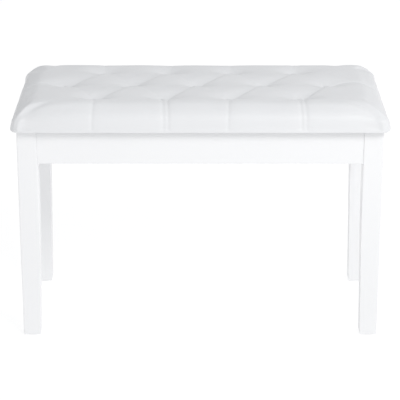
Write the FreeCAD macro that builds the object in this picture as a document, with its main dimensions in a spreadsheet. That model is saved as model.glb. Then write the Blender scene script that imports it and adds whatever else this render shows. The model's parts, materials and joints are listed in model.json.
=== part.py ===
import FreeCAD
import Part
import os
import re
import Sketcher
from FreeCAD import Placement, Rotation, Vector

# A two-seat piano bench: four tapered legs and four aprons around a storage well, with a
# tufted, hinged seat held open by two slotted lid stays.  Millimetres, +Z up, the front is -Y,
# and the origin is on the floor under the middle of the seat.

SIZES = {
    # overall
    "frame_width": 737, "frame_depth": 320, "frame_top": 447, "side_overhang": 12.5,
    "rear_overhang": 18,
    # legs and feet
    "leg_size": 40, "foot_size": 35, "taper_height": 282, "leg_round": 2, "foot_chamfer": 1.6,
    "leg_chamfer": 12, "glide_radius": 9.5, "glide_height": 3,
    "nail_radius": 1.25, "nail_length": 19,
    # aprons and the floor of the storage well
    "apron_height": 66, "apron_thickness": 15, "apron_setback": 1.5, "apron_bevel": 0.6,
    "groove_depth": 6, "groove_rise": 6, "floor_thickness": 4, "floor_clearance": 0.5,
    # joints in the frame
    "dowel_radius": 4, "dowel_length": 36, "dowel_inset": 18, "bracket_reach": 52,
    "bracket_wing": 12, "bracket_thickness": 2, "bracket_top": 10, "bracket_clear": 6,
    "bolt_inset": 10, "bolt_radius": 3,
    "bolt_length": 30, "insert_radius": 5, "insert_length": 15, "washer_thickness": 1.6,
    # screws
    "screw_radius": 1.4, "screw_head": 2.6, "screw_sink": 1.2, "screw_length": 12,
    # hinges, measured from the hinge axis
    "hinge_length": 60, "leaf_width": 18.3, "leaf_thickness": 1.2,
    "axis_setback": 1.8, "barrel_radius": 2.6, "pin_radius": 1.25, "pin_clearance": 0.05,
    "knuckle_clearance": 0.5, "knuckle_gap": 0.3, "leaf_screw_inset": 10.8,
    "leaf_screw_pitch": 22,
    # seat
    "lid_gap": 3, "dust_thickness": 0.6, "dust_inset": 15, "cover_thickness": 1.2,
    "hem_width": 28, "board_thickness": 12, "board_inset": 9, "foam_thickness": 39,
    "seat_corner": 18, "seat_top_round": 16, "seat_base_round": 4, "bumper_radius": 6,
    "bumper_height": 2.7, "bumper_inset": 20,
    # tufting
    "tuft_pitch": 137, "tuft_row": 92, "pit_floor": 9, "pit_mouth": 17, "pit_depth": 12,
    "button_radius": 8, "button_height": 4.5, "twine_radius": 0.9, "twine_washer": 6,
    "twine_washer_height": 1,
    # staples that hold the dust cover
    "staple_inset": 18, "staple_width": 9, "staple_wire": 0.8, "staple_length": 6.5,
    "staple_crown": 0.5, "staple_corner": 29, "staple_side_pitch": 60,
    # lid stays: places are measured from the hinge axis, along y and z
    "stay_gap": 0.3, "stay_sheet": 1.5, "stay_frame_y": -95, "stay_frame_z": -34,
    "stay_lid_y": -95, "stay_lid_z": -9, "lower_arm_length": 61.13, "lower_arm_width": 12,
    "lower_arm_angle": 183.75, "upper_arm_width": 13, "upper_arm_angle": 205.43,
    "slot_start": 67.54, "slot_end": 88.61, "slot_half_width": 3.5, "rivet_radius": 2.5,
    "rivet_head": 4, "rivet_head_height": 1, "rivet_clearance": 0.06, "plate_length": 35,
    "plate_width": 14, "lid_plate_length": 36, "lid_plate_reach": 21.6,
}

# Sizes worked out from the ones above.  Each hinge takes the place of one staple in the rear row.
DERIVED = {
    "hinge_inset": "(3.5 * staple_pitch)",
    "staple_pitch": "((bench_width - 2 * staple_corner) / 11)",
    "bench_width": "(frame_width + 2 * side_overhang)",
    "bench_depth": "(frame_depth + 2 * rear_overhang)",
    "dowel_second": "(apron_height - dowel_inset)",
    "bolt_first": "(bracket_top + bolt_inset)",
    "bolt_second": "(bracket_drop - bolt_inset)",
    "chamfer_drop": "(apron_height - 2)",
    "bracket_drop": "(apron_height - groove_rise - floor_thickness - bracket_clear)",
}

# How far each tuft sits off the even grid, row by row from the front: tufts are marked by hand.
TUFT_ROWS = [
    (-1, [(-1.5, -7), (-0.5, -4), (0.5, -9), (1.5, -2)]),
    (0, [(-2, -3), (-1, -5), (0, -9), (1, -9), (2, -11)]),
    (1, [(-1.5, 3), (-0.5, 1), (0.5, -2), (1.5, -4)]),
]

WORD = re.compile(r"[a-z_]{3,}")
X_AXIS = Vector(1, 0, 0)
Y_AXIS = Vector(0, 1, 0)
Z_AXIS = Vector(0, 0, 1)
UPRIGHT = Rotation()
TO_RIGHT = Rotation(Y_AXIS, 90)
CORNER_TURNS = {"front_left": 0, "front_right": 90, "rear_right": 180, "rear_left": 270}

doc = FreeCAD.newDocument("PianoBench")
nodes = {}


def write_sizes():
    sheet = doc.addObject("Spreadsheet::Sheet", "Sizes")
    for row, (name, value) in enumerate(SIZES.items(), start=1):
        sheet.set("A%d" % row, name)
        sheet.set("B%d" % row, str(value))
        sheet.setAlias("B%d" % row, name)
    doc.recompute()


def sized(text):
    """Spell out worked-out sizes, then point every size name in an expression at the sheet."""
    for name, meaning in DERIVED.items():
        text = text.replace(name, meaning)
    return WORD.sub(lambda hit: "Sizes." + hit.group(0) if hit.group(0) in SIZES else hit.group(0), text)


def bind(obj, **expressions):
    for name, text in expressions.items():
        obj.setExpression(name, sized(text))
    return obj


def place(obj, spot, rotation=UPRIGHT):
    """Put an object at a spot given as three expressions."""
    obj.Placement = Placement(Vector(0, 0, 0), rotation)
    for axis, text in zip("xyz", spot):
        obj.setExpression("Placement.Base." + axis, sized(text))
    return obj


def aim(angle):
    """Turn that lays an upright piece level, pointing along a compass angle from +X."""
    return Rotation(Z_AXIS, angle).multiply(TO_RIGHT)


def box(name, length, width, height, spot, rotation=UPRIGHT):
    solid = bind(doc.addObject("Part::Box", name), Length=length, Width=width, Height=height)
    return place(solid, spot, rotation)


def cylinder(name, radius, height, spot=("0", "0", "0"), rotation=UPRIGHT):
    solid = bind(doc.addObject("Part::Cylinder", name), Radius=radius, Height=height)
    return place(solid, spot, rotation)


def cone(name, lower, upper, height, spot=("0", "0", "0"), rotation=UPRIGHT):
    solid = bind(doc.addObject("Part::Cone", name), Radius1=lower, Radius2=upper, Height=height)
    return place(solid, spot, rotation)


def fuse(name, *shapes):
    joined = doc.addObject("Part::MultiFuse", name)
    joined.Shapes = list(shapes)
    return joined


def group(name, shapes):
    gathered = doc.addObject("Part::Compound", name)
    gathered.Links = list(shapes)
    return gathered


def cut(name, base, *tools):
    carved = doc.addObject("Part::Cut", name)
    carved.Base = base
    carved.Tool = tools[0] if len(tools) == 1 else group(name + "_tools", tools)
    return carved


def mirror(name, source):
    """The same piece on the other side of the bench."""
    twin = doc.addObject("Part::Mirroring", name)
    twin.Source = source
    twin.Normal = X_AXIS
    return twin


def copy_at(name, source, spot, rotation=UPRIGHT):
    link = doc.addObject("App::Link", name)
    link.LinkedObject = source
    return place(link, spot, rotation)


def new_sketch(body, name, role, offset="0"):
    sketch = body.newObject("Sketcher::SketchObject", name)
    plane = [feature for feature in body.Origin.OriginFeatures if feature.Role == role][0]
    sketch.AttachmentSupport = [(plane, "")]
    sketch.MapMode = "FlatFace"
    sketch.setExpression("AttachmentOffset.Base.z", sized(offset))
    return sketch


def draw_polygon(sketch, points):
    """Draw a closed outline whose corners are held by expressions; "0" holds one on an axis."""
    count = len(points)
    turns = [Rotation(Z_AXIS, 360.0 * step / count).multVec(Vector(10, 3, 0)) for step in range(count)]
    for step in range(count):
        sketch.addGeometry(Part.LineSegment(turns[step], turns[(step + 1) % count]), False)
    for step in range(count):
        sketch.addConstraint(Sketcher.Constraint("Coincident", step, 2, (step + 1) % count, 1))
    for step, corner in enumerate(points):
        start = turns[step]
        for kind, axis, now, text in (("DistanceX", -2, start.x, corner[0]), ("DistanceY", -1, start.y, corner[1])):
            if text == "0":
                sketch.addConstraint(Sketcher.Constraint("PointOnObject", step, 1, axis))
            else:
                index = sketch.addConstraint(Sketcher.Constraint(kind, -1, 1, step, 1, now))
                sketch.setExpression("Constraints[%d]" % index, sized(text))


def pad(body, name, sketch, length, symmetric=False):
    feature = body.newObject("PartDesign::Pad", name)
    feature.Profile = sketch
    feature.SideType = "Symmetric" if symmetric else "One side"
    feature.setExpression("Length", sized(length))
    return feature


def pocket(body, name, sketch, length, symmetric=False):
    feature = body.newObject("PartDesign::Pocket", name)
    feature.Profile = sketch
    feature.SideType = "Symmetric" if symmetric else "One side"
    feature.setExpression("Length", sized(length))
    return feature


def dress(body, kind, name, below, size, wanted):
    """Round or bevel the edges of a feature that pass a test."""
    doc.recompute()
    feature = body.newObject("PartDesign::" + kind, name)
    picked = ["Edge%d" % number for number, edge in enumerate(below.Shape.Edges, start=1) if wanted(edge)]
    feature.Base = (below, picked)
    feature.setExpression("Radius" if kind == "Fillet" else "Size", sized(size))
    doc.recompute()
    return feature


def rise(edge):
    return edge.BoundBox.ZLength


def at_corner(corner, along, across):
    """Plan position measured inward from the outer corner of a leg."""
    turn = CORNER_TURNS[corner]
    right = "frame_width / 2"
    back = "frame_depth / 2"
    if turn == 0:
        return "-%s + %s" % (right, along), "-%s + %s" % (back, across)
    if turn == 90:
        return "%s - (%s)" % (right, across), "-%s + %s" % (back, along)
    if turn == 180:
        return "%s - (%s)" % (right, along), "%s - (%s)" % (back, across)
    return "-%s + %s" % (right, across), "%s - (%s)" % (back, along)


def leg_blank(corner):
    """A square post, tapered on its two inner faces, with a stopped chamfer for the bracket."""
    body = doc.addObject("PartDesign::Body", "blank_" + corner)
    outline = new_sketch(body, "post_outline_" + corner, "XY_Plane", "glide_height")
    draw_polygon(outline, [("0", "0"), ("leg_size", "0"), ("leg_size", "leg_size"), ("0", "leg_size")])
    post = pad(body, "post_" + corner, outline, "frame_top - glide_height")
    dress(body, "Fillet", "arris_" + corner, post, "leg_round", lambda edge: rise(edge) > 1)
    for role in ("XZ_Plane", "YZ_Plane"):
        waste = new_sketch(body, "taper_outline_%s_%s" % (role[:2], corner), role)
        draw_polygon(waste, [("leg_size", "taper_height"), ("leg_size", "glide_height"),
                             ("foot_size", "glide_height")])
        tapered = pocket(body, "taper_%s_%s" % (role[:2], corner), waste, "3 * leg_size", symmetric=True)
    foot = dress(body, "Chamfer", "foot_edge_" + corner, tapered, "foot_chamfer",
                 lambda edge: edge.BoundBox.ZMax < SIZES["glide_height"] + 0.01)
    relief = new_sketch(body, "relief_outline_" + corner, "XY_Plane", "frame_top")
    draw_polygon(relief, [("leg_size", "leg_size - leg_chamfer"), ("leg_size", "leg_size"),
                          ("leg_size - leg_chamfer", "leg_size")])
    body.Tip = pocket(body, "relief_" + corner, relief, "chamfer_drop")
    along, across = at_corner(corner, "0", "0")
    return place(body, (along, across, "0"), Rotation(Z_AXIS, CORNER_TURNS[corner]))


def apron_blank(name, length, spot, turn):
    """A board grooved near its lower edge for the floor of the storage well."""
    body = doc.addObject("PartDesign::Body", name + "_blank")
    profile = new_sketch(body, name + "_profile", "YZ_Plane")
    base = "frame_top - apron_height"
    shelf = base + " + groove_rise"
    roof = shelf + " + floor_thickness + 0.2"
    inner = "apron_thickness"
    draw_polygon(profile, [("0", base), (inner, base), (inner, shelf), (inner + " - groove_depth", shelf),
                           (inner + " - groove_depth", roof), (inner, roof), (inner, "frame_top"),
                           ("0", "frame_top")])
    board = pad(body, name + "_board", profile, length, symmetric=True)
    body.Tip = dress(body, "Chamfer", name + "_bevel", board, "apron_bevel",
                     lambda edge: edge.BoundBox.YMax < 0.01)
    return place(body, spot, Rotation(Z_AXIS, turn))


def floor_blank():
    """The thin panel in the grooves, notched round the legs."""
    body = doc.addObject("PartDesign::Body", "floor_blank")
    height = "frame_top - apron_height + groove_rise"
    outline = new_sketch(body, "floor_outline", "XY_Plane", height)
    reach = " - apron_setback - apron_thickness + groove_depth - floor_clearance)"
    edge_x = "(frame_width / 2" + reach
    edge_y = "(frame_depth / 2" + reach
    notch_x = "(frame_width / 2 - leg_size - floor_clearance)"
    notch_y = "(frame_depth / 2 - leg_size - floor_clearance)"
    quarter = [(edge_x, notch_y), (notch_x + " + leg_chamfer", notch_y),
               (notch_x, notch_y + " + leg_chamfer"), (notch_x, edge_y)]
    points = []
    for sign_x, sign_y in (("", ""), ("-", ""), ("-", "-"), ("", "-")):
        corner = [("%s(%s)" % (sign_x, x), "%s(%s)" % (sign_y, y)) for x, y in quarter]
        points += corner if sign_x == sign_y else corner[::-1]
    draw_polygon(outline, points)
    body.Tip = pad(body, "floor_panel", outline, "floor_thickness")
    return body


def bracket_blank(corner):
    """A bent steel strip across the inside of a corner."""
    body = doc.addObject("PartDesign::Body", "bracket_blank_" + corner)
    outline = new_sketch(body, "bracket_outline_" + corner, "XY_Plane", "frame_top - bracket_drop")
    thick = "bracket_thickness"
    bend = "bracket_reach + 0.4142 * bracket_thickness"
    wing = "bracket_reach + bracket_wing"
    draw_polygon(outline, [(wing, "0"), ("bracket_reach", "0"), ("0", "bracket_reach"), ("0", wing),
                           (thick, wing), (thick, bend), (bend, thick), (wing, thick)])
    body.Tip = pad(body, "bracket_strip_" + corner, outline, "bracket_drop - bracket_top")
    inside = "apron_setback + apron_thickness"
    along, across = at_corner(corner, inside, inside)
    return place(body, (along, across, "0"), Rotation(Z_AXIS, CORNER_TURNS[corner]))


def screw_pattern(name, length):
    """A countersunk screw with its head's face at the origin, driven along +Z."""
    head = cone(name + "_head", "screw_head", "screw_radius", "screw_sink")
    shank = cylinder(name + "_shank", "screw_radius", length)
    return fuse(name, head, shank)


def seat_block(name, inset):
    """A rounded block for the seat, drawn in from its outside by an inset."""
    body = doc.addObject("PartDesign::Body", name)
    outline = new_sketch(body, name + "_outline", "XY_Plane", "frame_top + lid_gap + dust_thickness + " + inset)
    half_x = "(bench_width / 2 - %s)" % inset
    half_y = "(bench_depth / 2 - %s)" % inset
    draw_polygon(outline, [("-" + half_x, "-" + half_y), (half_x, "-" + half_y), (half_x, half_y),
                           ("-" + half_x, half_y)])
    block = pad(body, name + "_pad", outline,
                "board_thickness + foam_thickness + 2 * (cover_thickness - %s)" % inset)
    corners = dress(body, "Fillet", name + "_corners", block, "seat_corner - " + inset,
                    lambda edge: rise(edge) > 1)
    roof = corners.Shape.BoundBox.ZMax - 0.01
    top = dress(body, "Fillet", name + "_top_round", corners, "seat_top_round - " + inset,
                lambda edge: edge.BoundBox.ZMin > roof)
    base = top.Shape.BoundBox.ZMin + 0.01
    body.Tip = dress(body, "Fillet", name + "_base_round", top, "seat_base_round - " + inset,
                     lambda edge: edge.BoundBox.ZMax < base)
    return body


write_sizes()

# Joint hardware shared by the whole frame.
apron_middle = "apron_setback + apron_thickness / 2"
apron_inside = "apron_setback + apron_thickness"
plate_back = apron_inside + " + bracket_thickness"
wing_middle = apron_inside + " + bracket_reach + bracket_wing / 2"
diagonal = 0.70711
bolt_spot = "%s + bracket_reach / 2 + (bracket_thickness + washer_thickness) * %s" % (apron_inside, diagonal)
insert_spot = "leg_size - leg_chamfer / 2"
foot_middle = "foot_size / 2"

dowel = cylinder("dowel", "dowel_radius", "dowel_length")
short_screw = screw_pattern("short_screw", "screw_length")
long_screw = screw_pattern("long_screw", "screw_length + 2")
bolt = fuse("bolt", cylinder("bolt_head", "bolt_radius + 2", "4", ("0", "0", "-4")),
            cylinder("bolt_shank", "bolt_radius", "bolt_length"))
washer_disc = cylinder("washer_disc", "bolt_radius + 3.5", "washer_thickness")
insert_plug = cylinder("insert_plug", "insert_radius", "insert_length")
nail = fuse("nail", cylinder("nail_head", "nail_radius + 2.5", "1"),
            cylinder("nail_shank", "nail_radius", "nail_length"))

dowels = []
bolts = []
washers = []
inserts = []
bracket_screws = []
nails = []
for corner, turn in CORNER_TURNS.items():
    across_leg = "leg_size - dowel_length / 2"
    for number, drop in enumerate(("dowel_inset", "dowel_second"), start=1):
        height = "frame_top - " + drop
        dowels.append(copy_at("dowel_a%d_%s" % (number, corner), dowel,
                              at_corner(corner, across_leg, apron_middle) + (height,), aim(turn)))
        dowels.append(copy_at("dowel_b%d_%s" % (number, corner), dowel,
                              at_corner(corner, apron_middle, across_leg) + (height,), aim(turn + 90)))
    for number, drop in enumerate(("bolt_first", "bolt_second"), start=1):
        height = "frame_top - " + drop
        tag = "%d_%s" % (number, corner)
        inward = aim(turn + 225)
        bolts.append(copy_at("bolt_" + tag, bolt, at_corner(corner, bolt_spot, bolt_spot) + (height,), inward))
        washers.append(copy_at("washer_" + tag, washer_disc,
                               at_corner(corner, bolt_spot, bolt_spot) + (height,), inward))
        inserts.append(copy_at("insert_" + tag, insert_plug,
                               at_corner(corner, insert_spot, insert_spot) + (height,), inward))
        bracket_screws.append(copy_at("wing_screw_a" + tag, short_screw,
                                      at_corner(corner, wing_middle, plate_back) + (height,), aim(turn + 270)))
        bracket_screws.append(copy_at("wing_screw_b" + tag, short_screw,
                                      at_corner(corner, plate_back, wing_middle) + (height,), aim(turn + 180)))
    nails.append(copy_at("nail_" + corner, nail, at_corner(corner, foot_middle, foot_middle) + ("1",)))

nodes["apron_dowels"] = group("apron_dowels", dowels)
nodes["leg_bolts"] = group("leg_bolts", bolts)
nodes["bolt_washers"] = cut("bolt_washers", group("washer_discs", washers), nodes["leg_bolts"])
insert_plugs = group("insert_plugs", inserts)
nodes["leg_inserts"] = cut("leg_inserts", insert_plugs, nodes["leg_bolts"])
nodes["bracket_screws"] = group("bracket_screws", bracket_screws)
nodes["glide_nails"] = group("glide_nails", nails)

# Hinges: the left one is drawn and the right one mirrored.
axis_y = "frame_depth / 2 + axis_setback"
hinge_start = "-hinge_inset - hinge_length / 2"
leaf_y = "%s - leaf_width" % axis_y
lid_base = "frame_top + lid_gap"
knuckle = "hinge_length / 5"

frame_leaf_screws = []
lid_leaf_screws = []
for side in (-1, 1):
    for step in (-1, 0, 1):
        x = "%d * hinge_inset + %d * leaf_screw_pitch" % (side, step)
        y = axis_y + " - leaf_screw_inset"
        tag = "%s_%d" % ("left" if side < 0 else "right", step + 2)
        frame_leaf_screws.append(copy_at("frame_leaf_screw_" + tag, long_screw,
                                         (x, y, "frame_top + leaf_thickness"), Rotation(X_AXIS, 180)))
        lid_leaf_screws.append(copy_at("lid_leaf_screw_" + tag, short_screw,
                                       (x, y, lid_base + " - leaf_thickness")))
nodes["hinge_frame_screws"] = group("hinge_frame_screws", frame_leaf_screws)
nodes["hinge_lid_screws"] = group("hinge_lid_screws", lid_leaf_screws)


def barrel(name, radius, start, length):
    return cylinder(name, radius, length, (hinge_start + " + " + start, axis_y, "frame_top"), TO_RIGHT)


pin = barrel("hinge_pin_left", "pin_radius", "0", "hinge_length")
frame_leaf_clearance = [barrel("lid_knuckle_space_%d" % slot, "barrel_radius + knuckle_clearance",
                               "%d * %s" % (slot, knuckle), knuckle) for slot in (1, 3)]
frame_leaf = fuse("frame_leaf", barrel("frame_barrel", "barrel_radius", "0", "hinge_length"),
                  box("frame_leaf_plate", "hinge_length", "leaf_width", "leaf_thickness",
                      (hinge_start, leaf_y, "frame_top")))
nodes["hinge_frame_leaf_left"] = cut("hinge_frame_leaf_left", frame_leaf, pin,
                                     nodes["hinge_frame_screws"], *frame_leaf_clearance)

lid_knuckles = [barrel("lid_knuckle_%d" % slot, "barrel_radius", "%d * %s + knuckle_gap" % (slot, knuckle),
                       knuckle + " - 2 * knuckle_gap") for slot in (1, 3)]
frame_knuckle_space = [barrel("frame_knuckle_space_%d" % slot, "barrel_radius + knuckle_clearance",
                              "%d * %s - knuckle_gap" % (slot, knuckle), knuckle + " + 2 * knuckle_gap")
                       for slot in (0, 2, 4)]
lid_leaf = fuse("lid_leaf", box("lid_leaf_plate", "hinge_length", "leaf_width", "leaf_thickness",
                                (hinge_start, leaf_y, lid_base + " - leaf_thickness")), *lid_knuckles)
nodes["hinge_lid_leaf_left"] = cut("hinge_lid_leaf_left", lid_leaf,
                                   barrel("lid_leaf_bore", "pin_radius + pin_clearance", "0", "hinge_length"),
                                   nodes["hinge_lid_screws"], *frame_knuckle_space)
nodes["hinge_pin_left"] = pin
for piece in ("hinge_frame_leaf", "hinge_lid_leaf", "hinge_pin"):
    nodes[piece + "_right"] = mirror(piece + "_right", nodes[piece + "_left"])

# Lid stays: each is a frame plate, a lower arm with a stud, a slotted upper arm and a lid plate.
# Planes are counted inboard from the left apron's inner face.
apron_face = "-frame_width / 2 + apron_setback + apron_thickness"
lower_plane = apron_face + " + stay_sheet + stay_gap"
upper_plane = lower_plane + " + stay_sheet + stay_gap"
lid_plane = upper_plane + " + stay_sheet + stay_gap"
pivot_y = axis_y + " + stay_frame_y"
pivot_z = "frame_top + stay_frame_z"
hook_y = axis_y + " + stay_lid_y"
hook_z = "frame_top + stay_lid_z"
rivet_bore = "rivet_radius + rivet_clearance"


def lean(angle):
    """Turn that stands a flat arm upright along the bench's side, at an angle from +Y."""
    return Rotation(X_AXIS, angle).multiply(Rotation(Vector(1, 1, 1), 120))


plate_screws = [copy_at("plate_screw_%d" % number, short_screw,
                        (apron_face + " + stay_sheet", "%s - %d" % (pivot_y, reach), pivot_z), aim(180))
                for number, reach in enumerate((17, 29), start=1)]
stay_frame_screws = group("stay_frame_screws_left", plate_screws)
frame_rivet = fuse("stay_frame_rivet_left",
                   cylinder("frame_rivet_shank", "rivet_radius", "2 * stay_sheet + 2 * stay_gap + rivet_head_height",
                            (apron_face, pivot_y, pivot_z), TO_RIGHT),
                   cylinder("frame_rivet_head", "rivet_head", "rivet_head_height",
                            (upper_plane, pivot_y, pivot_z), TO_RIGHT))
frame_plate = fuse("frame_plate", box("frame_plate_strip", "stay_sheet", "plate_length", "plate_width",
                                      (apron_face, pivot_y + " - plate_length", pivot_z + " - plate_width / 2")),
                   cylinder("frame_plate_end", "plate_width / 2", "stay_sheet",
                            (apron_face, pivot_y, pivot_z), TO_RIGHT))
nodes["stay_frame_plate_left"] = cut("stay_frame_plate_left", frame_plate, frame_rivet, stay_frame_screws)

# Both arms are drawn lying along +X with their pivot at the origin, then stood up.
lower_tilt = lean(SIZES["lower_arm_angle"])
lower_blank = fuse("lower_arm_blank",
                   box("lower_arm_strip", "lower_arm_length", "lower_arm_width", "stay_sheet",
                       ("0", "-lower_arm_width / 2", "0")),
                   cylinder("lower_arm_pivot_end", "lower_arm_width / 2", "stay_sheet"),
                   cylinder("lower_arm_stud_end", "lower_arm_width / 2", "stay_sheet", ("lower_arm_length", "0", "0")),
                   cylinder("stud", "rivet_radius", "2 * stay_sheet + 2 * stay_gap", ("lower_arm_length", "0", "0")),
                   cylinder("stud_head", "rivet_head + 0.6", "rivet_head_height",
                            ("lower_arm_length", "0", "2 * stay_sheet + 2 * stay_gap")))
lower_arm = cut("stay_lower_left", lower_blank, cylinder("lower_arm_bore", rivet_bore, "stay_sheet"))
nodes["stay_lower_left"] = place(lower_arm, (lower_plane, pivot_y, pivot_z), lower_tilt)

upper_tilt = lean(SIZES["upper_arm_angle"])
upper_blank = fuse("upper_arm_blank",
                   box("upper_arm_strip", "slot_end", "upper_arm_width", "stay_sheet",
                       ("0", "-upper_arm_width / 2", "0")),
                   cylinder("upper_arm_pivot_end", "upper_arm_width / 2", "stay_sheet"),
                   cylinder("upper_arm_slot_end", "upper_arm_width / 2", "stay_sheet", ("slot_end", "0", "0")))
slot_shape = fuse("slot_shape",
                  box("slot_middle", "slot_end - slot_start", "2 * slot_half_width", "stay_sheet",
                      ("slot_start", "-slot_half_width", "0")),
                  cylinder("slot_near_end", "slot_half_width", "stay_sheet", ("slot_start", "0", "0")),
                  cylinder("slot_far_end", "slot_half_width", "stay_sheet", ("slot_end", "0", "0")))
upper_arm = cut("stay_upper_left", upper_blank, slot_shape, cylinder("upper_arm_bore", rivet_bore, "stay_sheet"))
nodes["stay_upper_left"] = place(upper_arm, (upper_plane, hook_y, hook_z), upper_tilt)

lid_rivet = fuse("stay_lid_rivet_left",
                 cylinder("lid_rivet_shank", "rivet_radius", "2 * stay_sheet + 2 * stay_gap",
                          (upper_plane + " - stay_gap", hook_y, hook_z), TO_RIGHT),
                 cylinder("lid_rivet_outer_head", "rivet_head", "rivet_head_height",
                          (upper_plane + " - stay_gap - rivet_head_height", hook_y, hook_z), TO_RIGHT),
                 cylinder("lid_rivet_inner_head", "rivet_head", "rivet_head_height",
                          (lid_plane + " + stay_sheet", hook_y, hook_z), TO_RIGHT))
lid_plate_screws = [copy_at("lid_plate_screw_%d" % number, short_screw,
                            (lid_plane + " + lid_plate_reach / 2", "%s + %d" % (hook_y, reach),
                             lid_base + " - stay_sheet"))
                    for number, reach in enumerate((-12, 12), start=1)]
lid_screws_left = group("stay_lid_screws_left", lid_plate_screws)
lid_plate = fuse("lid_plate",
                 box("lid_plate_flat", "lid_plate_reach", "lid_plate_length", "stay_sheet",
                     (lid_plane, hook_y + " - lid_plate_length / 2", lid_base + " - stay_sheet")),
                 box("lid_plate_side", "stay_sheet", "lid_plate_length", "7",
                     (lid_plane, hook_y + " - lid_plate_length / 2", lid_base + " - 7")),
                 box("lid_plate_ear", "stay_sheet", "16", lid_base + " - (%s)" % hook_z,
                     (lid_plane, hook_y + " - 8", hook_z)),
                 cylinder("lid_plate_end", "8", "stay_sheet", (lid_plane, hook_y, hook_z), TO_RIGHT))
nodes["stay_lid_bracket_left"] = cut("stay_lid_bracket_left", lid_plate, lid_rivet, lid_screws_left)

for piece in ("stay_frame_plate", "stay_lower", "stay_upper", "stay_lid_bracket"):
    nodes[piece + "_right"] = mirror(piece + "_right", nodes[piece + "_left"])
nodes["stay_frame_screws"] = group("stay_frame_screws",
                                   [stay_frame_screws, mirror("stay_frame_screws_right", stay_frame_screws)])
nodes["stay_frame_rivets"] = group("stay_frame_rivets",
                                   [frame_rivet, mirror("stay_frame_rivet_right", frame_rivet)])
nodes["stay_lid_screws"] = group("stay_lid_screws",
                                 [lid_screws_left, mirror("stay_lid_screws_right", lid_screws_left)])
nodes["stay_lid_rivets"] = group("stay_lid_rivets", [lid_rivet, mirror("stay_lid_rivet_right", lid_rivet)])

# Frame woodwork, feet and corner brackets.
for corner in CORNER_TURNS:
    nodes["leg_" + corner] = cut("leg_" + corner, leg_blank(corner), nodes["apron_dowels"], insert_plugs,
                                 nodes["leg_bolts"], nodes["glide_nails"])
    spot = at_corner(corner, foot_middle, foot_middle)
    glide = fuse("glide_blank_" + corner,
                 cone("glide_edge_" + corner, "glide_radius - 1.2", "glide_radius", "1.2", spot + ("0",)),
                 cylinder("glide_body_" + corner, "glide_radius", "glide_height - 1.2", spot + ("1.2",)))
    nodes["foot_glide_" + corner] = cut("foot_glide_" + corner, glide, nodes["glide_nails"])
    nodes["corner_bracket_" + corner] = cut("corner_bracket_" + corner, bracket_blank(corner),
                                            nodes["leg_bolts"], nodes["bracket_screws"])

long_apron = "frame_width - 2 * leg_size"
short_apron = "frame_depth - 2 * leg_size"
front = apron_blank("front_apron", long_apron, ("0", "-frame_depth / 2 + apron_setback", "0"), 0)
rear = apron_blank("rear_apron", long_apron, ("0", "frame_depth / 2 - apron_setback", "0"), 180)
left = apron_blank("left_apron", short_apron, ("-frame_width / 2 + apron_setback", "0", "0"), 270)
right = apron_blank("right_apron", short_apron, ("frame_width / 2 - apron_setback", "0", "0"), 90)
joinery = (nodes["apron_dowels"], nodes["bracket_screws"])
nodes["front_apron"] = cut("front_apron", front, *joinery)
nodes["rear_apron"] = cut("rear_apron", rear, nodes["hinge_frame_screws"], *joinery)
nodes["left_apron"] = cut("left_apron", left, nodes["stay_frame_screws"], *joinery)
nodes["right_apron"] = cut("right_apron", right, nodes["stay_frame_screws"], *joinery)
nodes["storage_floor"] = floor_blank()

bumper_disc = cylinder("bumper_disc", "bumper_radius", "bumper_height")
nodes["lid_bumpers"] = group("lid_bumpers", [
    copy_at("bumper_" + corner, bumper_disc, at_corner(corner, "bumper_inset", "bumper_inset") + ("frame_top",))
    for corner in CORNER_TURNS])

# Seat: board, foam and cover are cut from one rounded envelope and its core.
cover_base = lid_base + " + dust_thickness"
board_base = cover_base + " + cover_thickness"
foam_base = board_base + " + board_thickness"
seat_top = foam_base + " + foam_thickness + cover_thickness"
pit_base = seat_top + " - pit_depth"

# The foam's pits are wider and lower than the cover's by the thickness of the cover.
pit = cone("pit", "pit_floor", "pit_mouth", "pit_depth")
foam_pit = cone("foam_pit", "pit_floor + 0.6", "pit_mouth + 1.44", "pit_depth + cover_thickness")
button = bind(doc.addObject("Part::Ellipsoid", "button"), Radius1="button_height", Radius2="button_radius",
              Radius3="button_radius")
button.Angle1 = 0
twine = cylinder("twine", "twine_radius", "%s + 1.5 - (%s - twine_washer_height)" % (pit_base, board_base))
twine_disc = cylinder("twine_disc", "twine_washer", "twine_washer_height")

pits = []
foam_pits = []
buttons = []
twines = []
twine_discs = []
for row, tufts in TUFT_ROWS:
    for column, shift in tufts:
        x = "%s * tuft_pitch + %s" % (column, shift)
        y = "%s * tuft_row" % row
        tag = "%d" % (len(pits) + 1)
        pits.append(copy_at("pit_" + tag, pit, (x, y, pit_base)))
        foam_pits.append(copy_at("foam_pit_" + tag, foam_pit, (x, y, pit_base + " - cover_thickness")))
        buttons.append(copy_at("button_" + tag, button, (x, y, pit_base)))
        twines.append(copy_at("twine_" + tag, twine, (x, y, board_base + " - twine_washer_height")))
        twine_discs.append(copy_at("twine_disc_" + tag, twine_disc, (x, y, board_base + " - twine_washer_height")))
nodes["tuft_twines"] = group("tuft_twines", twines)
nodes["tuft_buttons"] = cut("tuft_buttons", group("plain_buttons", buttons), nodes["tuft_twines"])
nodes["twine_washers"] = cut("twine_washers", group("twine_discs", twine_discs), nodes["tuft_twines"])

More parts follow.
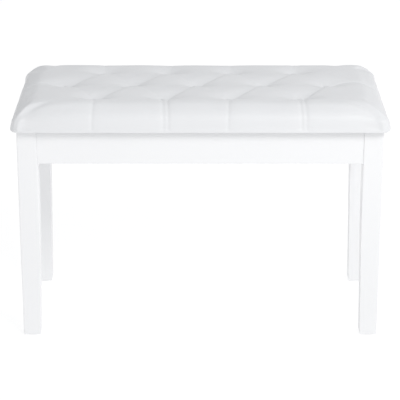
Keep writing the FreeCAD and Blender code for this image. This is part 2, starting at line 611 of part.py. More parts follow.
staple = cut("staple", box("staple_outside", "staple_width", "staple_wire", "staple_length",
                           ("-staple_width / 2", "-staple_wire / 2", "0")),
             box("staple_inside", "staple_width - 2 * staple_wire", "staple_wire", "staple_length",
                 ("-staple_width / 2 + staple_wire", "-staple_wire / 2", "staple_crown")))
staples = []
for side in (-1, 1):
    # The rear row leaves out the two staples that would sit under a hinge leaf.
    for step in (-5.5, -4.5, -3.5, -2.5, -1.5, -0.5, 0.5, 1.5, 2.5, 3.5, 4.5, 5.5):
        if side < 0 or abs(step) != 3.5:
            spot = ("%s * staple_pitch" % step, "%d * (bench_depth / 2 - staple_inset)" % side,
                    lid_base + " - staple_crown")
            staples.append(copy_at("staple_%d" % (len(staples) + 1), staple, spot))
    for step in (-2, -1, 0, 1, 2):
        spot = ("%d * (bench_width / 2 - staple_inset)" % side, "%s * staple_side_pitch" % step,
                lid_base + " - staple_crown")
        staples.append(copy_at("staple_%d" % (len(staples) + 1), staple, spot, Rotation(Z_AXIS, 90)))
nodes["dust_cover_staples"] = group("dust_cover_staples", staples)
lid_fasteners = (nodes["hinge_lid_screws"], nodes["stay_lid_screws"], nodes["dust_cover_staples"])

core = cut("seat_core", seat_block("core_block", "cover_thickness"), group("foam_pits", foam_pits))
envelope = cut("seat_envelope", seat_block("envelope_block", "0"), group("cover_pits", pits))
board_slab = box("board_slab", "bench_width - 2 * board_inset", "bench_depth - 2 * board_inset",
                 "board_thickness", ("-bench_width / 2 + board_inset", "-bench_depth / 2 + board_inset", board_base))
hem_opening = box("hem_opening", "bench_width - 2 * hem_width", "bench_depth - 2 * hem_width", "cover_thickness",
                  ("-bench_width / 2 + hem_width", "-bench_depth / 2 + hem_width", cover_base))
nodes["seat_board"] = cut("seat_board", board_slab, nodes["tuft_twines"], *lid_fasteners)
nodes["seat_foam"] = cut("seat_foam", core, board_slab, nodes["tuft_twines"])
skin = cut("seat_skin", cut("hollow_skin", envelope, core), hem_opening)
nodes["seat_cover"] = cut("seat_cover", skin, nodes["tuft_twines"], *lid_fasteners)
dust_sheet = box("dust_sheet", "bench_width - 2 * dust_inset", "bench_depth - 2 * dust_inset", "dust_thickness",
                 ("-bench_width / 2 + dust_inset", "-bench_depth / 2 + dust_inset", lid_base))
nodes["dust_cover"] = cut("dust_cover", dust_sheet, *lid_fasteners)

doc.recompute()
for obj in doc.Objects:
    if "Invalid" in obj.State or "Error" in obj.State:
        raise RuntimeError("%s did not compute: %s" % (obj.Name, obj.State))
for name, obj in nodes.items():
    if obj.Shape.isNull() or not obj.Shape.isValid() or not obj.Shape.Solids:
        raise RuntimeError("%s has no sound solid" % name)

os.makedirs("parts", exist_ok=True)
for name, obj in nodes.items():
    obj.Shape.exportStep("parts/%s.step" % name)
print("%d nodes written" % len(nodes))
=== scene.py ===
"""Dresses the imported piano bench: tufted seat, covered buttons, dust cloth, finishes and a studio."""

import json
import math

import bpy
import numpy as np
from bpy.props import FloatProperty, FloatVectorProperty, PointerProperty
from bpy.types import Operator, Panel, PropertyGroup
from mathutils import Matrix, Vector


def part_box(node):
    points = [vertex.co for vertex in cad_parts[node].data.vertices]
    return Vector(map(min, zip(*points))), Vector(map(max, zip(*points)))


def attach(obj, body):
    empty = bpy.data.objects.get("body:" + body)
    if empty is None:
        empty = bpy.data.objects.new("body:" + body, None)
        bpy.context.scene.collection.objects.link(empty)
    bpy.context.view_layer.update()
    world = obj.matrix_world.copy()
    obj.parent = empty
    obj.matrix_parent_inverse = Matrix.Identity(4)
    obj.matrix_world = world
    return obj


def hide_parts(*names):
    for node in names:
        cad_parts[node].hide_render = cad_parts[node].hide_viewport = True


bl_info = {
    "name": "Piano Bench Workshop",
    "version": (1, 0, 0),
    "blender": (4, 5, 0),
    "location": "3D View > Sidebar > Bench",
    "description": "Upholsters and finishes a two-seat piano bench on its packed frame",
    "category": "Add Mesh",
}

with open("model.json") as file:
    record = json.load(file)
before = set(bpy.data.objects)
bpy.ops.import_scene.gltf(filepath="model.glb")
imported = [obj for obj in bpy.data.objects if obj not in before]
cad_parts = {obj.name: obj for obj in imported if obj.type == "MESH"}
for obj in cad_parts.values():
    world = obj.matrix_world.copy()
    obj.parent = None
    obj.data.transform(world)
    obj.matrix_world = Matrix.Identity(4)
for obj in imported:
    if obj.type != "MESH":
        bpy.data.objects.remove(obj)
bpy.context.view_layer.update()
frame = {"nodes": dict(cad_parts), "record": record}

MM = 0.001
COVER_LOW, COVER_HIGH = (Vector(corner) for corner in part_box("seat_cover"))
BUTTONS_LOW, BUTTONS_HIGH = (Vector(corner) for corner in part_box("tuft_buttons"))
DUST_LOW, DUST_HIGH = (Vector(corner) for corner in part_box("dust_cover"))

# Tufts are marked by hand on an even grid, so each one sits a few millimetres off it.
TUFT_ROWS = (
    (-1, ((-1.5, -7), (-0.5, -4), (0.5, -9), (1.5, -2))),
    (0, ((-2, -3), (-1, -5), (0, -9), (1, -9), (2, -11))),
    (1, ((-1.5, 3), (-0.5, 1), (0.5, -2), (1.5, -4))),
)


# Tufts of the outer rows, counted from the left, that have two straight folds instead of one.
DOUBLE_SEAMS = (1, 3)
# How much steeper the front wall of a tuft's bowl is than its rear wall.
FRONT_WALL = 1.9
# The filling is blown up over this many frames.
FILLING_FRAMES = 20


class SeatSizes(PropertyGroup):
    """Sizes of the upholstery"""

    tuft_pitch: FloatProperty(name="Tuft pitch", description="Distance between tufts along a row",
                              default=0.137, unit="LENGTH")
    row_pitch: FloatProperty(name="Row pitch", description="Distance between rows of tufts",
                             default=0.092, unit="LENGTH")
    corner_radius: FloatProperty(name="Corner radius", description="Rounding of the seat's upright corners",
                                 default=0.020, unit="LENGTH")
    top_radius: FloatProperty(name="Top radius", description="Rounding along the seat's upper edges",
                              default=0.029, unit="LENGTH")
    base_radius: FloatProperty(name="Base radius", description="Rounding along the seat's lower edges",
                               default=0.004, unit="LENGTH")
    swell: FloatProperty(name="Swell", description="Most that the filling may push the cover outwards",
                         default=0.006, unit="LENGTH")
    headroom: FloatProperty(name="Headroom", description="Height left for the filling to swell",
                            default=0.0064, unit="LENGTH")
    voxel: FloatProperty(name="Mesh size", description="Edge length of the undivided mesh",
                         default=0.0048, unit="LENGTH")
    bowl_width: FloatProperty(name="Bowl width", description="Spread of a button's pull in the foam",
                              default=0.029, unit="LENGTH")
    bowl_share: FloatProperty(name="Bowl share", description="Part of a tuft's depth in its wide bowl",
                              default=0.76, subtype="FACTOR")
    pleat_depth: FloatProperty(name="Pleat depth", description="Depth of the folds between tufts",
                               default=0.0050, unit="LENGTH")
    seam_depth: FloatProperty(name="Seam depth", description="Depth of the straight folds down the sides",
                              default=0.0015, unit="LENGTH")
    button_radius: FloatProperty(name="Button radius", description="Radius of a covered button",
                                 default=0.008, unit="LENGTH")


class FinishColours(PropertyGroup):
    """Colours of the finishes"""

    leather: FloatVectorProperty(name="Leather", description="White synthetic leather", size=3,
                                 default=(0.765, 0.773, 0.787), subtype="COLOR", min=0, max=1)
    paint: FloatVectorProperty(name="Paint", description="Satin lacquer on the frame", size=3,
                               default=(0.85, 0.855, 0.865), subtype="COLOR", min=0, max=1)
    bare_wood: FloatVectorProperty(name="Bare wood", description="Board and dowels", size=3,
                                   default=(0.55, 0.38, 0.22), subtype="COLOR", min=0, max=1)
    steel: FloatVectorProperty(name="Steel", description="Plated steel of the fittings", size=3,
                               default=(0.62, 0.62, 0.61), subtype="COLOR", min=0, max=1)
    glide: FloatVectorProperty(name="Glides", description="Plastic of the foot glides", size=3,
                               default=(0.045, 0.045, 0.048), subtype="COLOR", min=0, max=1)
    rubber: FloatVectorProperty(name="Rubber", description="Soft bumpers under the lid", size=3,
                                default=(0.72, 0.72, 0.69), subtype="COLOR", min=0, max=1)
    dust_cloth: FloatVectorProperty(name="Dust cloth", description="Cloth stapled under the seat", size=3,
                                    default=(0.03, 0.03, 0.032), subtype="COLOR", min=0, max=1)
    twine: FloatVectorProperty(name="Twine", description="Waxed tufting twine", size=3,
                               default=(0.62, 0.55, 0.40), subtype="COLOR", min=0, max=1)
    floor: FloatVectorProperty(name="Floor", description="Pale studio floor", size=3,
                               default=(0.35, 0.35, 0.35), subtype="COLOR", min=0, max=1)


class StudioSetup(PropertyGroup):
    """Camera and lights"""

    distance: FloatProperty(name="Camera distance", description="From the camera to the point it looks at",
                            default=3.6, unit="LENGTH")
    elevation: FloatProperty(name="Camera elevation", description="Height of the camera as an angle",
                             default=math.radians(20.44), subtype="ANGLE")
    lens: FloatProperty(name="Lens", description="Focal length in millimetres", default=152.0)
    aim_height: FloatProperty(name="Aim height", description="Height that the camera looks at",
                              default=0.2439, unit="LENGTH")
    ambient: FloatProperty(name="Ambient", description="Mean strength of the light from all round",
                           default=0.71)
    lean: FloatVectorProperty(name="Lean", description="Growth of that light towards each axis", size=3,
                              default=(0.22, -0.02, 0.07), subtype="XYZ")
    key_power: FloatProperty(name="Key power", description="Power of the large light at the front right",
                             default=19.5)
    fill_power: FloatProperty(name="Fill power", description="Power of the light beside the camera",
                              default=0.5)


# ---------------------------------------------------------------- modelling helpers

def start_clean():
    """Leave edit mode and select nothing, because every operator acts on what is selected."""
    if bpy.context.object and bpy.context.object.mode != "OBJECT":
        bpy.ops.object.mode_set(mode="OBJECT")
    bpy.ops.object.select_all(action="DESELECT")


def activate(piece):
    start_clean()
    piece.select_set(True)
    bpy.context.view_layer.objects.active = piece


def settle(piece):
    """Put a piece's place and size into its mesh."""
    activate(piece)
    bpy.ops.object.transform_apply(location=True, rotation=True, scale=True)


def pick_edges(piece, wanted):
    """Select the edges whose two ends pass a test."""
    bpy.ops.object.mode_set(mode="OBJECT")
    mesh = piece.data
    for polygon in mesh.polygons:
        polygon.select = False
    for vertex in mesh.vertices:
        vertex.select = False
    for edge in mesh.edges:
        first, second = (mesh.vertices[index].co for index in edge.vertices)
        edge.select = wanted(first, second)
    bpy.ops.object.mode_set(mode="EDIT")


def bevel_edges(piece, wanted, offset, segments):
    bpy.ops.object.mode_set(mode="EDIT")
    bpy.ops.mesh.select_mode(type="EDGE")
    pick_edges(piece, wanted)
    bpy.ops.mesh.bevel(offset=offset, segments=segments, profile=0.5, affect="EDGES")


def face_outwards(piece):
    activate(piece)
    bpy.ops.object.mode_set(mode="EDIT")
    bpy.ops.mesh.select_all(action="SELECT")
    bpy.ops.mesh.remove_doubles(threshold=0.00001)
    bpy.ops.mesh.normals_make_consistent(inside=False)
    bpy.ops.object.mode_set(mode="OBJECT")


def apply_modifier(piece, kind, name, **values):
    modifier = piece.modifiers.new(name, kind)
    for key, value in values.items():
        setattr(modifier, key, value)
    activate(piece)
    bpy.ops.object.modifier_apply(modifier=name)


def read_points(piece):
    points = np.empty(len(piece.data.vertices) * 3)
    piece.data.vertices.foreach_get("co", points)
    return points.reshape(-1, 3)


def write_points(piece, points):
    piece.data.vertices.foreach_set("co", np.ascontiguousarray(points).ravel())
    piece.data.update()


def read_normals(piece):
    normals = np.empty(len(piece.data.vertices) * 3)
    piece.data.vertex_normals.foreach_get("vector", normals)
    return normals.reshape(-1, 3)


def smooth_step(values, low, high):
    share = np.clip((values - low) / (high - low), 0.0, 1.0)
    return share * share * (3.0 - 2.0 * share)


def give(piece, material, body="lid"):
    """Paint a new piece and let it ride."""
    piece.data.materials.clear()
    piece.data.materials.append(material)
    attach(piece, body)


# ---------------------------------------------------------------- tufting

def tuft_places(sizes):
    """Every tuft's place in plan, row by row from the front."""
    return [[(column * sizes.tuft_pitch + shift * MM, row * sizes.row_pitch) for column, shift in tufts]
            for row, tufts in TUFT_ROWS]


def along_line(points, start, end):
    """Share along a line in plan, and signed distance from it, for every point."""
    run = np.array(end) - np.array(start)
    length = np.hypot(*run)
    ahead = run / length
    offset = points[:, :2] - np.array(start)
    share = offset @ ahead / length
    aside = offset @ np.array([-ahead[1], ahead[0]])
    return share, aside


def lap(aside, slope, crease):
    """A tucked fold: a long slope down to the crease, and a short steep rise past it."""
    return np.where(aside > 0, np.exp(-(aside / slope) ** 2), np.exp(-(aside / crease) ** 2))


def fold(aside, width):
    """A crease with a soft valley round it and a lip of gathered leather on one side."""
    crease = np.exp(-(aside / width) ** 2)
    valley = 0.65 * np.exp(-(aside / (5.5 * width)) ** 2)
    lip = 0.40 * np.exp(-((aside - 2.3 * width) / (1.4 * width)) ** 2)
    return crease + valley - lip


def pull_buttons(points, top_share, rows, sizes, floor):
    """Pull the cover down to the seat of every button."""
    depth = np.zeros(len(points))
    for row in rows:
        for x, y in row:
            reach = np.hypot((points[:, 0] - x) / 1.18, points[:, 1] - y)
            near = (reach < 0.012) & (points[:, 2] > floor - 0.02)
            rest = points[near, 2].max() if near.any() else COVER_HIGH.z
            full = rest - floor
            across = (points[:, 0] - x) / 1.15
            along = points[:, 1] - y
            along = np.where(along > 0, along, along * FRONT_WALL)
            bowl = sizes.bowl_share * np.exp(-(across ** 2 + along ** 2) / sizes.bowl_width ** 2)
            throat = (1.0 - sizes.bowl_share) / (1.0 + (reach / (1.25 * sizes.button_radius)) ** 4)
            depth = np.maximum(depth, full * (bowl + throat))
    return depth * top_share


def lay_pleats(points, rows, sizes):
    """Depth of the diagonal folds that join each tuft to its neighbours in the next row.

    The cover is tucked along the folds that run towards the right, and only creased along the others.
    """
    depth = np.zeros(len(points))
    for lower, upper in zip(rows, rows[1:]):
        for start in lower:
            for end in upper:
                if abs(end[0] - start[0]) > sizes.tuft_pitch * 0.75:
                    continue
                share, aside = along_line(points, start, end)
                inside = np.clip(share, 0, 1)
                ends = smooth_step(share, -0.02, 0.06) * (1.0 - smooth_step(share, 0.94, 1.02))
                if end[0] > start[0]:
                    bowed = aside + 0.009 * np.sin(math.pi * inside)
                    grip = 0.30 + 0.70 * (1.0 - smooth_step(share, 0.10, 0.62))
                    shape = sizes.pleat_depth * ends * grip * lap(bowed, 0.019, 0.0036)
                else:
                    grip = 0.35 + 0.65 * (2.0 * inside - 1.0) ** 2
                    shape = 0.30 * sizes.pleat_depth * ends * grip * fold(aside, 0.0036)
                depth = np.where(np.abs(shape) > np.abs(depth), shape, depth)
    return depth


def run_seams(points, rows, sizes):
    """Straight folds from the outer rows over the long sides, and curved ones to the two ends."""
    depth = np.zeros(len(points))
    half_depth = COVER_HIGH.y
    half_width = COVER_HIGH.x
    for row, side in ((rows[0], -1.0), (rows[-1], 1.0)):
        for number, (x, y) in enumerate(row):
            out = (points[:, 1] - y) * side
            share = np.clip(out / (half_depth - abs(y)), 0, 1)
            begun = smooth_step(out, -0.002, 0.010)
            strength = begun * (1.0 - 0.45 * share) * sizes.seam_depth * (1.0 if side < 0 else 0.35)
            drift = x + 0.004 * (1 if number % 2 else -1) * share
            lines = (-0.005, 0.005) if number in DOUBLE_SEAMS else (0.0,)
            for offset in lines:
                aside = points[:, 0] - drift - offset * smooth_step(share, 0.0, 0.35)
                depth += strength * (np.exp(-(aside / 0.0024) ** 2) + 0.7 * np.exp(-(aside / 0.009) ** 2))
    for (x, y), side, bow in ((rows[1][0], -1.0, 0.010), (rows[1][-1], 1.0, 0.016)):
        out = (points[:, 0] - x) * side
        share = np.clip(out / (half_width - abs(x)), 0, 1)
        path = y + bow * np.sin(math.pi * np.clip(share, 0, 1) ** 0.8)
        begun = smooth_step(out, -0.002, 0.012)
        aside = points[:, 1] - path
        depth += begun * (1.0 - 0.35 * share) * 2.5 * sizes.seam_depth * fold(-aside, 0.0032)
    return depth


def gather_corners(points):
    """Small gathers where the cover is folded round the seat's corners, most at the front left."""
    depth = np.zeros(len(points))
    for side_x, side_y, strength in ((-1, -1, 1.0), (1, -1, 0.35), (-1, 1, 0.25), (1, 1, 0.25)):
        inward = (COVER_HIGH.x - points[:, 0] * side_x, COVER_HIGH.y - points[:, 1] * side_y)
        away = np.hypot(*inward)
        slant = inward[0] - inward[1]
        fade = strength * np.exp(-((away - 0.030) / 0.018) ** 2)
        for offset, size in ((-0.014, 0.0006), (-0.003, 0.0009), (0.010, 0.0007)):
            depth += fade * size * np.exp(-((slant - offset) / 0.0030) ** 2)
    return depth


def press_corners(points):
    """How far the folded cover presses the seat's four top corners down."""
    along = smooth_step(np.abs(points[:, 0]), COVER_HIGH.x - 0.075, COVER_HIGH.x)
    across = smooth_step(np.abs(points[:, 1]), COVER_HIGH.y - 0.065, COVER_HIGH.y)
    return 0.009 * along * across


def hand_work(points):
    """Slow unevenness of hand-laid padding."""
    x, y = points[:, 0], points[:, 1]
    return (0.0006 * np.sin(23.0 * x + 1.3) * np.cos(31.0 * y + 0.4)
            + 0.0004 * np.sin(57.0 * x - 0.6) * np.sin(49.0 * y + 2.1))


def inflate(piece, sizes):
    """Let pressure fill the cover like foam, held along its base, then cap how far it moved."""
    before = read_points(piece)
    pins = piece.vertex_groups.new(name="stapled_edge")
    held = np.nonzero(before[:, 2] < COVER_LOW.z + 0.002)[0]
    pins.add([int(index) for index in held], 1.0, "REPLACE")
    cloth = piece.modifiers.new("Filling", "CLOTH")
    settings = cloth.settings
    settings.quality = 4
    settings.mass = 0.3
    settings.tension_stiffness = 18
    settings.compression_stiffness = 18
    settings.bending_stiffness = 3
    settings.use_pressure = True
    settings.uniform_pressure_force = 4.0
    settings.vertex_group_mass = "stapled_edge"
    settings.effector_weights.gravity = 0
    cloth.collision_settings.use_collision = False
    for step in range(1, FILLING_FRAMES + 1):
        bpy.context.scene.frame_set(step)
    activate(piece)
    bpy.ops.object.modifier_apply(modifier="Filling")
    bpy.context.scene.frame_set(1)
    after = read_points(piece)
    move = after - before
    length = np.linalg.norm(move, axis=1)
    cap = sizes.swell
    share = np.where(length > 1e-9, cap * np.tanh(length / cap) / np.maximum(length, 1e-9), 1.0)
    write_points(piece, before + move * share[:, None])
    piece.vertex_groups.clear()


def tuft(piece, sizes):
    rows = tuft_places(sizes)
    points = read_points(piece)
    normals = read_normals(piece)
    lift = smooth_step(points[:, 2], COVER_HIGH.z - 0.034, COVER_HIGH.z - 0.012)
    above_base = smooth_step(points[:, 2], COVER_LOW.z + 0.002, COVER_LOW.z + 0.010)
    top_share = lift * smooth_step(normals[:, 2], 0.2, 0.7)
    sunk = pull_buttons(points, top_share, rows, sizes, BUTTONS_LOW.z)
    folds = (lay_pleats(points, rows, sizes) + hand_work(points)) * top_share
    folds += (run_seams(points, rows, sizes) + gather_corners(points)) * above_base
    calm = np.clip(1.0 - sunk / 0.018, 0.30, 1.0)
    points -= normals * (folds * calm)[:, None]
    points[:, 2] -= sunk + press_corners(points) * lift
    write_points(piece, points)


def make_cover(sizes):
    """The padded leather cover: a rounded block, filled, then tufted, pleated and seamed."""
    size = COVER_HIGH - COVER_LOW
    roof = COVER_HIGH.z - sizes.headroom
    start_clean()
    bpy.ops.mesh.primitive_cube_add(size=1, location=(0, 0, (roof + COVER_LOW.z) / 2),
                                    scale=(size.x, size.y, roof - COVER_LOW.z))
    piece = bpy.context.object
    piece.name = "tufted_cover"
    settle(piece)
    bevel_edges(piece, lambda a, b: abs(a.z - b.z) > 0.01, sizes.corner_radius, 6)
    bevel_edges(piece, lambda a, b: min(a.z, b.z) > roof - 1e-4, sizes.top_radius, 7)
    bevel_edges(piece, lambda a, b: max(a.z, b.z) < COVER_LOW.z + 1e-4, sizes.base_radius, 2)
    bpy.ops.object.mode_set(mode="OBJECT")
    piece.data.remesh_voxel_size = sizes.voxel
    piece.data.remesh_voxel_adaptivity = 0
    activate(piece)
    bpy.ops.object.voxel_remesh()
    inflate(piece, sizes)
    apply_modifier(piece, "SUBSURF", "Smoother", levels=1, render_levels=1)
    tuft(piece, sizes)
    activate(piece)
    bpy.ops.object.shade_smooth()
    return piece


def make_button(sizes):
    """One covered button: a dome with a soft rim."""
    start_clean()
    height = BUTTONS_HIGH.z - BUTTONS_LOW.z
    bpy.ops.mesh.primitive_cylinder_add(vertices=28, radius=sizes.button_radius, depth=height * 0.45,
                                        location=(0, 0, height * 0.225), end_fill_type="NGON")
    button = bpy.context.object
    settle(button)
    roof = height * 0.45
    bpy.ops.object.mode_set(mode="EDIT")
    bpy.ops.mesh.select_mode(type="FACE")
    for rise in (0.26, 0.18, 0.09):
        bpy.ops.mesh.select_all(action="DESELECT")
        bpy.ops.object.mode_set(mode="OBJECT")
        for polygon in button.data.polygons:
            on_top = polygon.normal.z > 0.9 and polygon.center.z > roof - 1e-6
            polygon.select = on_top and len(polygon.vertices) > 4
        bpy.ops.object.mode_set(mode="EDIT")
        bpy.ops.mesh.inset(thickness=sizes.button_radius * 0.24, depth=height * rise)
        bpy.ops.object.mode_set(mode="OBJECT")
        roof = max(vertex.co.z for vertex in button.data.vertices)
        bpy.ops.object.mode_set(mode="EDIT")
    bpy.ops.object.mode_set(mode="OBJECT")
    apply_modifier(button, "BEVEL", "Rim", width=0.0006, segments=2, limit_method="ANGLE",
                   angle_limit=math.radians(50))
    face_outwards(button)
    activate(button)
    bpy.ops.object.shade_smooth()
    return button


def copy_piece(source, name, shift):
    """A copy with its own mesh, moved into place."""
    twin = bpy.data.objects.new(name, source.data.copy())
    bpy.context.scene.collection.objects.link(twin)
    points = read_points(twin)
    write_points(twin, points + np.array(shift))
    return twin


def make_dust_cloth():
    """Thin cloth stretched under the board, with a faint ripple along its stapled edge."""
    size = DUST_HIGH - DUST_LOW
    middle = (DUST_HIGH + DUST_LOW) / 2
    start_clean()
    bpy.ops.mesh.primitive_grid_add(x_subdivisions=120, y_subdivisions=54, size=1, location=middle)
    cloth = bpy.context.object
    cloth.name = "stretched_dust_cloth"
    cloth.scale = (size.x, size.y, 1)
    settle(cloth)
    points = read_points(cloth)
    edge = np.minimum(size.x / 2 - np.abs(points[:, 0]), size.y / 2 - np.abs(points[:, 1]))
    ripple = 0.00008 * np.sin(points[:, 0] * 98.2) * np.exp(-np.maximum(edge, 0) / 0.012)
    points[:, 2] += ripple
    write_points(cloth, points)
    apply_modifier(cloth, "SOLIDIFY", "Thickness", thickness=0.00035, offset=0)
    activate(cloth)
    bpy.ops.object.shade_smooth_by_angle(angle=math.radians(40))
    return cloth


# ---------------------------------------------------------------- finishes

def new_group(name, inputs, outputs):
    """An empty shader node group with its sockets, and its two end nodes."""
    group = bpy.data.node_groups.new(name, "ShaderNodeTree")
    for label, kind, default in inputs:
        socket = group.interface.new_socket(name=label, in_out="INPUT", socket_type=kind)
        socket.default_value = default
    for label, kind in outputs:
        group.interface.new_socket(name=label, in_out="OUTPUT", socket_type=kind)
    start = group.nodes.new("NodeGroupInput")
    end = group.nodes.new("NodeGroupOutput")
    return group, start, end


def add(tree, kind, **values):
    node = tree.nodes.new(kind)
    for key, value in values.items():
        setattr(node, key, value)
    return node


def noise(tree, vector, scale, detail=4.0, roughness=0.55):
    node = add(tree, "ShaderNodeTexNoise")
    node.inputs["Scale"].default_value = scale
    node.inputs["Detail"].default_value = detail
    node.inputs["Roughness"].default_value = roughness
    tree.links.new(vector, node.inputs["Vector"])
    return node


def ramp(tree, value, stops):
    node = add(tree, "ShaderNodeValToRGB")
    while len(node.color_ramp.elements) > len(stops):
        node.color_ramp.elements.remove(node.color_ramp.elements[-1])
    for index, (place, colour) in enumerate(stops):
        if index >= len(node.color_ramp.elements):
            node.color_ramp.elements.new(place)
        node.color_ramp.elements[index].position = place
        node.color_ramp.elements[index].color = (*colour, 1.0)
    tree.links.new(value, node.inputs["Fac"])
    return node


def maths(tree, operation, first, second):
    node = add(tree, "ShaderNodeMath", operation=operation)
    for socket, value in zip(node.inputs, (first, second)):
        if isinstance(value, (int, float)):
            socket.default_value = value
        else:
            tree.links.new(value, socket)
    return node.outputs[0]


def leather_grain_group():
    """Pebbled grain: cells of two sizes with fine creases between them."""
    group, start, end = new_group("Leather Grain", [("Vector", "NodeSocketVector", (0, 0, 0)),
                                                    ("Cells", "NodeSocketFloat", 700.0)],
                                  [("Height", "NodeSocketFloat"), ("Creases", "NodeSocketFloat")])
    cells = add(group, "ShaderNodeTexVoronoi", feature="DISTANCE_TO_EDGE")
    group.links.new(start.outputs["Vector"], cells.inputs["Vector"])
    group.links.new(start.outputs["Cells"], cells.inputs["Scale"])
    small = add(group, "ShaderNodeTexVoronoi", feature="F1")
    group.links.new(start.outputs["Vector"], small.inputs["Vector"])
    group.links.new(maths(group, "MULTIPLY", start.outputs["Cells"], 2.3), small.inputs["Scale"])
    creases = ramp(group, cells.outputs["Distance"], [(0.0, (0, 0, 0)), (0.16, (1, 1, 1))])
    fine = maths(group, "MULTIPLY", small.outputs["Distance"], 0.35)
    group.links.new(maths(group, "SUBTRACT", creases.outputs["Color"], fine), end.inputs["Height"])
    group.links.new(creases.outputs["Color"], end.inputs["Creases"])
    return group


def patch_group():
    """Slow change between two colours and two values, for uneven paint, wear and handling."""
    group, start, end = new_group("Uneven Surface", [("Vector", "NodeSocketVector", (0, 0, 0)),
                                                     ("Patches", "NodeSocketFloat", 6.0),
                                                     ("Light", "NodeSocketColor", (1, 1, 1, 1)),
                                                     ("Dark", "NodeSocketColor", (0.8, 0.8, 0.8, 1)),
                                                     ("Smooth", "NodeSocketFloat", 0.3),
                                                     ("Rough", "NodeSocketFloat", 0.5)],
                                  [("Color", "NodeSocketColor"), ("Roughness", "NodeSocketFloat"),
                                   ("Mask", "NodeSocketFloat")])
    clouds = noise(group, start.outputs["Vector"], 1.0, 3.0, 0.45)
    group.links.new(start.outputs["Patches"], clouds.inputs["Scale"])
    mask = ramp(group, clouds.outputs["Fac"], [(0.22, (0, 0, 0)), (0.80, (1, 1, 1))])
    colour = add(group, "ShaderNodeMix", data_type="RGBA")
    group.links.new(mask.outputs["Color"], colour.inputs["Factor"])
    for node_input, socket in (("A", "Light"), ("B", "Dark")):
        target = [item for item in colour.inputs if item.type == "RGBA" and item.name == node_input][0]
        group.links.new(start.outputs[socket], target)
    rough = add(group, "ShaderNodeMapRange")
    group.links.new(mask.outputs["Color"], rough.inputs["Value"])
    group.links.new(start.outputs["Smooth"], rough.inputs["To Min"])
    group.links.new(start.outputs["Rough"], rough.inputs["To Max"])
    result = [item for item in colour.outputs if item.type == "RGBA"][0]
    group.links.new(result, end.inputs["Color"])
    group.links.new(rough.outputs["Result"], end.inputs["Roughness"])
    group.links.new(mask.outputs["Color"], end.inputs["Mask"])
    return group


def shade(colour, factor):
    return tuple(min(1.0, channel * factor) for channel in colour)


def new_material(name):
    material = bpy.data.materials.new(name)
    material.use_nodes = True
    tree = material.node_tree
    shader = tree.nodes["Principled BSDF"]
    coordinates = add(tree, "ShaderNodeTexCoord")
    return material, tree, shader, coordinates.outputs["Object"]


def use_patches(tree, vector, shader, colour, patches, smooth, rough, darker):
    node = add(tree, "ShaderNodeGroup")
    node.node_tree = bpy.data.node_groups["Uneven Surface"]
    node.inputs["Patches"].default_value = patches
    node.inputs["Light"].default_value = (*colour, 1)
    node.inputs["Dark"].default_value = (*shade(colour, darker), 1)
    node.inputs["Smooth"].default_value = smooth
    node.inputs["Rough"].default_value = rough
    tree.links.new(vector, node.inputs["Vector"])
    tree.links.new(node.outputs["Color"], shader.inputs["Base Color"])
    tree.links.new(node.outputs["Roughness"], shader.inputs["Roughness"])
    return node


def raise_surface(tree, shader, height, strength, distance):
    bump = add(tree, "ShaderNodeBump")
    bump.inputs["Strength"].default_value = strength
    bump.inputs["Distance"].default_value = distance
    tree.links.new(height, bump.inputs["Height"])
    tree.links.new(bump.outputs["Normal"], shader.inputs["Normal"])


def leather(name, colour, cells):
    """Embossed white synthetic leather with a soft coat."""
    material, tree, shader, vector = new_material(name)
    use_patches(tree, vector, shader, colour, 9.0, 0.36, 0.50, 0.965)
    grain = add(tree, "ShaderNodeGroup")
    grain.node_tree = bpy.data.node_groups["Leather Grain"]
    grain.inputs["Cells"].default_value = cells
    tree.links.new(vector, grain.inputs["Vector"])
    raise_surface(tree, shader, grain.outputs["Height"], 0.22, 0.0003)
    shader.inputs["Specular IOR Level"].default_value = 0.36
    shader.inputs["Coat Weight"].default_value = 0.04
    shader.inputs["Coat Roughness"].default_value = 0.35
    return material


def paint(name, colour):
    """Sprayed satin lacquer: faint orange peel, slightly duller in patches."""
    material, tree, shader, vector = new_material(name)
    use_patches(tree, vector, shader, colour, 4.0, 0.46, 0.54, 0.98)
    peel = noise(tree, vector, 420.0, 2.0, 0.4)
    flow = noise(tree, vector, 38.0, 3.0, 0.5)
    height = maths(tree, "ADD", peel.outputs["Fac"], maths(tree, "MULTIPLY", flow.outputs["Fac"], 2.0))
    raise_surface(tree, shader, height, 0.10, 0.0004)
    shader.inputs["Specular IOR Level"].default_value = 0.26
    shader.inputs["Coat Weight"].default_value = 0.04
    shader.inputs["Coat Roughness"].default_value = 0.3
    return material


def bare_wood(name, colour):
    """Pale wood with grain along the bench."""
    material, tree, shader, vector = new_material(name)
    stretch = add(tree, "ShaderNodeMapping")
    stretch.inputs["Scale"].default_value = (1.2, 22.0, 22.0)
    tree.links.new(vector, stretch.inputs["Vector"])
    grain = noise(tree, stretch.outputs["Vector"], 6.0, 6.0, 0.6)
    stops = [(0.30, shade(colour, 0.62)), (0.52, colour), (0.75, shade(colour, 1.2))]
    colours = ramp(tree, grain.outputs["Fac"], stops)
    tree.links.new(colours.outputs["Color"], shader.inputs["Base Color"])
    rough = add(tree, "ShaderNodeMapRange")
    tree.links.new(grain.outputs["Fac"], rough.inputs["Value"])
    rough.inputs["To Min"].default_value = 0.55
    rough.inputs["To Max"].default_value = 0.75
    tree.links.new(rough.outputs["Result"], shader.inputs["Roughness"])
    raise_surface(tree, shader, grain.outputs["Fac"], 0.25, 0.0004)
    return material


